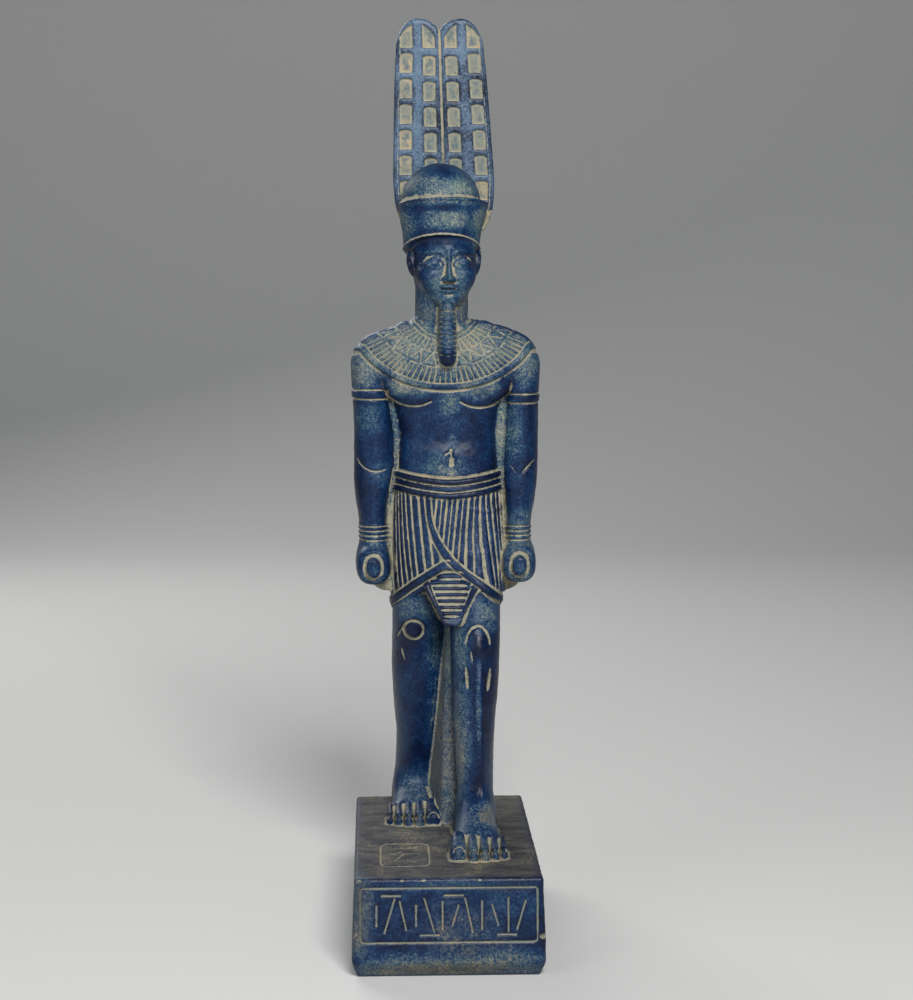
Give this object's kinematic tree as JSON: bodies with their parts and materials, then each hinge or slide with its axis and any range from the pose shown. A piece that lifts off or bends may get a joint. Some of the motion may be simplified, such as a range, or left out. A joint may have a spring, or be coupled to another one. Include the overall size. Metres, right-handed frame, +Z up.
{
  "type": "striding deity statue",
  "caption": "Standing Egyptian-style deity statue with a tall plumed crown, broad collar and pleated kilt, striding against a back pillar on its own rectangular plinth.",
  "frame": {"origin": "middle of the plinth's flat underside", "axes": "+Z up; the figure faces -Y; +X is the figure's left-hand side"},
  "size_m": [0.0845, 0.1436, 0.4014],
  "materials": {
    "blue_stone": "cast blue stone composite with a soft satin sheen; cream filler in the grooves and dust on the plinth"
  },
  "bodies": {
    "root": {"amun_statue": "blue_stone"}
  },
  "joints": []
}
